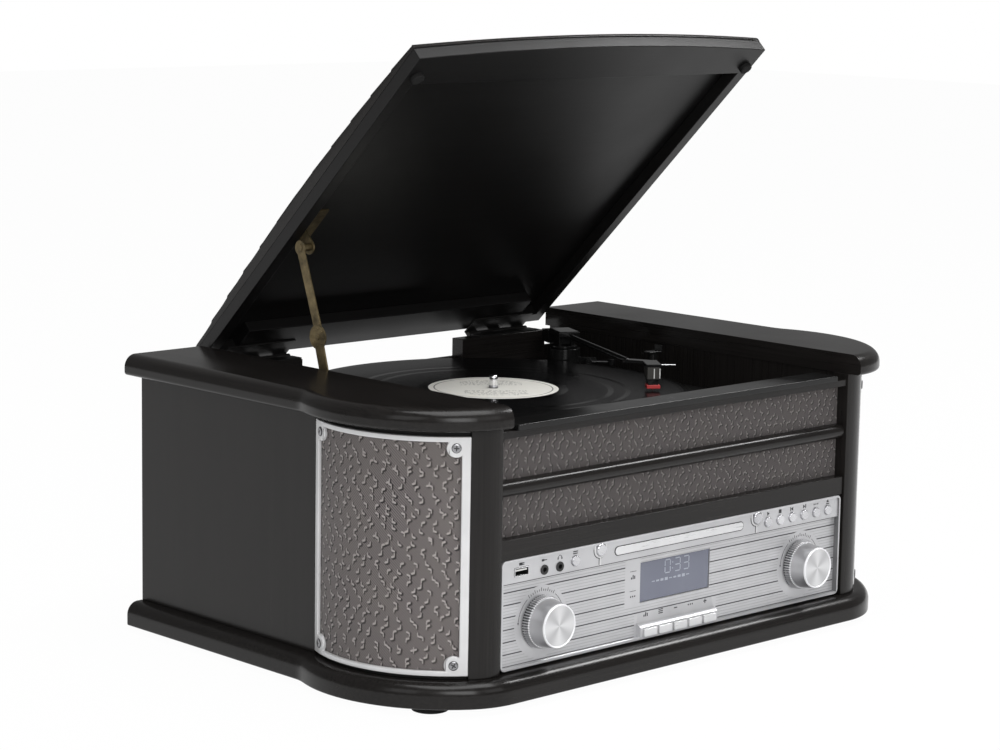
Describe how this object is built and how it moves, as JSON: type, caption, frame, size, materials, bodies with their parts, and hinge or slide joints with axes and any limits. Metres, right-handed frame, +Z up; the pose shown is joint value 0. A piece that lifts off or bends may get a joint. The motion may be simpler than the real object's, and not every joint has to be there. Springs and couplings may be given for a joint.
{
  "type": "stereo music centre",
  "caption": "Black wooden music centre with a lidded turntable, radio, disc drawer, curved cloth speaker corners and a silver control panel; the arched lid stands open on a folding stay.",
  "frame": {"origin": "under the middle of the outer box, on the surface the feet stand on, lid open", "axes": "+Z up, -Y towards the user (the control panel's side), +X to the user's right"},
  "size_m": [0.5296, 0.3598, 0.4556],
  "materials": {
    "black_wood": "satin black lacquer with faint grain",
    "mdf": "raw fibreboard",
    "foot_rubber": "matt",
    "grille_cloth": "grey woven twill with small figures",
    "silver_trim": "satin silver",
    "fascia_silver": "light silver, fine dark stripes",
    "steel": "bright",
    "dark_metal": "dark",
    "black_plastic": "fine grain",
    "gloss_black": "glossy",
    "board_green": "circuit board",
    "lens": "display window",
    "aged_brass": "dark antique",
    "pulley_brass": "turned",
    "platter_metal": "cast",
    "mat_rubber": "ribbed",
    "vinyl": "grooved vinyl, cream label",
    "cartridge_grey": "grey, red guard"
  },
  "bodies": {
    "case": {"plinth": "black_wood", "feet": "foot_rubber", "side_panel_left": "black_wood", "side_panel_right": "black_wood", "inner_walls": "black_wood", "front_posts": "black_wood", "top_board_left": "black_wood", "top_board_right": "black_wood", "rear_panel": "black_wood", "terminal_plate": "black_plastic", "speaker_baffles": "mdf", "speaker_drivers": "dark_metal", "grille_cloths": "grille_cloth", "grille_frames": "silver_trim", "grille_screws": "steel", "front_frame": "black_wood", "front_cloths": "grille_cloth", "bezel_plate": "gloss_black", "fascia": "fascia_silver", "control_board": "board_green", "display": "lens", "front_sockets": "steel", "cd_mechanism": "black_plastic", "deck_plate": "black_plastic", "motor": "dark_metal", "drive_belt": "foot_rubber", "hinge_lower_leaves": "dark_metal", "stay_base": "aged_brass", "tonearm_base": "black_plastic"},
    "lid": {"lid_frame": "black_wood", "lid_panel": "black_wood", "lid_bumpers": "foot_rubber", "hinge_upper_leaves": "dark_metal", "stay_bracket": "aged_brass"},
    "stay_upper": {"stay_upper_link": "aged_brass"},
    "stay_lower": {"stay_lower_link": "aged_brass"},
    "turntable": {"platter": "platter_metal", "slip_mat": "mat_rubber", "record": "vinyl"},
    "motor_drive": {"motor_pulley": "pulley_brass"},
    "arm_yoke": {"tonearm_yoke": "black_plastic"},
    "arm": {"tonearm": "gloss_black", "cartridge": "cartridge_grey"},
    "cue": {"cue_lever": "gloss_black"},
    "volume": {"volume_knob": "silver_trim"},
    "tuning": {"tuning_knob": "silver_trim"},
    "drawer": {"cd_tray": "silver_trim"},
    "speed": {"speed_switch": "gloss_black"},
    "function": {"function_button": "steel"},
    "key_1": {"key_1": "silver_trim"},
    "key_2": {"key_2": "silver_trim"},
    "key_3": {"key_3": "silver_trim"},
    "key_4": {"key_4": "silver_trim"},
    "key_5": {"key_5": "silver_trim"},
    "disc_1": {"disc_button_1": "steel"},
    "disc_2": {"disc_button_2": "steel"},
    "disc_3": {"disc_button_3": "steel"},
    "disc_4": {"disc_button_4": "steel"},
    "disc_5": {"disc_button_5": "steel"},
    "disc_6": {"disc_button_6": "steel"}
  },
  "joints": [
    {"name": "lid_hinge", "type": "hinge", "parent": "case", "child": "lid", "pos_m": [0, 0.16935, 0.1963], "axis": [1, 0, 0], "range_deg": [0, 44.4]},
    {"name": "stay_base_pivot", "type": "hinge", "parent": "case", "child": "stay_lower", "pos_m": [-0.178, 0.01605, 0.173], "axis": [1, 0, 0], "range_deg": [0, 101.85]},
    {"name": "stay_lid_pivot", "type": "hinge", "parent": "lid", "child": "stay_upper", "pos_m": [-0.178, 0.05723, 0.29791], "axis": [1, 0, 0], "range_deg": [-104.26, 0]},
    {"name": "platter_spin", "type": "hinge", "parent": "case", "child": "turntable", "pos_m": [-0.0215, 0.01435, 0.1758], "axis": [0, 0, 1], "continuous": true},
    {"name": "motor_spin", "type": "hinge", "parent": "case", "child": "motor_drive", "pos_m": [-0.09787, 0.09072, 0.1695], "axis": [0, 0, 1], "continuous": true},
    {"name": "arm_swing", "type": "hinge", "parent": "case", "child": "arm_yoke", "pos_m": [0.128, 0.08785, 0.1928], "axis": [0, 0, 1], "range_deg": [-23, 28.8]},
    {"name": "arm_lift", "type": "hinge", "parent": "arm_yoke", "child": "arm", "pos_m": [0.128, 0.08785, 0.1993], "axis": [-0.9056, 0.4242, 0], "range_deg": [0, 1.6]},
    {"name": "cue_pivot", "type": "hinge", "parent": "case", "child": "cue", "pos_m": [0.14299, 0.07387, 0.181], "axis": [-0.682, -0.7314, 0], "range_deg": [0, 32]},
    {"name": "volume_turn", "type": "hinge", "parent": "case", "child": "volume", "pos_m": [-0.1389, -0.16115, 0.0535], "axis": [0, -1, 0], "range_deg": [-150, 150]},
    {"name": "tuning_turn", "type": "hinge", "parent": "case", "child": "tuning", "pos_m": [0.1389, -0.16115, 0.0535], "axis": [0, -1, 0], "continuous": true},
    {"name": "key_1_press", "type": "slide", "parent": "case", "child": "key_1", "axis": [0, 1, 0], "range_m": [0, 0.001], "stiffness_N_per_m": 250},
    {"name": "key_2_press", "type": "slide", "parent": "case", "child": "key_2", "axis": [0, 1, 0], "range_m": [0, 0.001], "stiffness_N_per_m": 250},
    {"name": "key_3_press", "type": "slide", "parent": "case", "child": "key_3", "axis": [0, 1, 0], "range_m": [0, 0.001], "stiffness_N_per_m": 250},
    {"name": "key_4_press", "type": "slide", "parent": "case", "child": "key_4", "axis": [0, 1, 0], "range_m": [0, 0.001], "stiffness_N_per_m": 250},
    {"name": "key_5_press", "type": "slide", "parent": "case", "child": "key_5", "axis": [0, 1, 0], "range_m": [0, 0.001], "stiffness_N_per_m": 250},
    {"name": "disc_1_press", "type": "slide", "parent": "case", "child": "disc_1", "axis": [0, 1, 0], "range_m": [0, 0.001], "stiffness_N_per_m": 250},
    {"name": "disc_2_press", "type": "slide", "parent": "case", "child": "disc_2", "axis": [0, 1, 0], "range_m": [0, 0.001], "stiffness_N_per_m": 250},
    {"name": "disc_3_press", "type": "slide", "parent": "case", "child": "disc_3", "axis": [0, 1, 0], "range_m": [0, 0.001], "stiffness_N_per_m": 250},
    {"name": "disc_4_press", "type": "slide", "parent": "case", "child": "disc_4", "axis": [0, 1, 0], "range_m": [0, 0.001], "stiffness_N_per_m": 250},
    {"name": "disc_5_press", "type": "slide", "parent": "case", "child": "disc_5", "axis": [0, 1, 0], "range_m": [0, 0.001], "stiffness_N_per_m": 250},
    {"name": "disc_6_press", "type": "slide", "parent": "case", "child": "disc_6", "axis": [0, 1, 0], "range_m": [0, 0.001], "stiffness_N_per_m": 250},
    {"name": "function_press", "type": "slide", "parent": "case", "child": "function", "axis": [0, 1, 0], "range_m": [0, 0.001], "stiffness_N_per_m": 250},
    {"name": "drawer_slide", "type": "slide", "parent": "case", "child": "drawer", "axis": [0, -1, 0], "range_m": [0, 0.125]},
    {"name": "speed_slide", "type": "slide", "parent": "case", "child": "speed", "axis": [0, 1, 0], "range_m": [-0.005, 0.005]}
  ],
  "couplings": [
    {"joint": "stay_base_pivot", "follows": "lid_hinge", "ratio": 2.2939},
    {"joint": "stay_lid_pivot", "follows": "lid_hinge", "ratio": -2.3481},
    {"joint": "motor_spin", "follows": "platter_spin", "ratio": 16},
    {"joint": "cue_pivot", "follows": "arm_lift", "ratio": 20}
  ]
}
